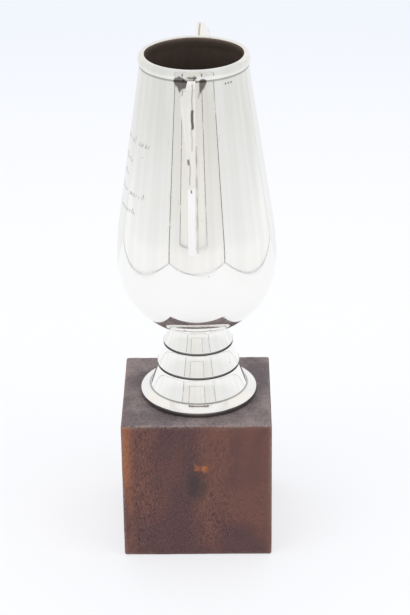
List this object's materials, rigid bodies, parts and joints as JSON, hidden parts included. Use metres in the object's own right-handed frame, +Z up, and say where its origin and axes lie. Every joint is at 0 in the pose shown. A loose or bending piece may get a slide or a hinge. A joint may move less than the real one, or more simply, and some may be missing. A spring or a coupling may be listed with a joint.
{
  "type": "golf trophy cup",
  "caption": "Tall hollow silver cup on a stepped spun foot, with slim handles shaped as golf clubs, on a cube of dark wood.",
  "frame": {"origin": "on the cup's axis, level with the wooden block's underside and within 1 mm of its middle", "axes": "+Z up through the mouth of the cup, front of the cup towards -Y, the handles lie front and back"},
  "size_m": [0.0808, 0.1084, 0.2643],
  "materials": {
    "silver": "polished sterling silver with light wear",
    "wood": "old dark stained hardwood, worn and slightly dusty"
  },
  "bodies": {
    "root": {"bowl": "silver", "foot": "silver", "handle_front": "silver", "handle_back": "silver", "wood_block": "wood"}
  },
  "joints": []
}
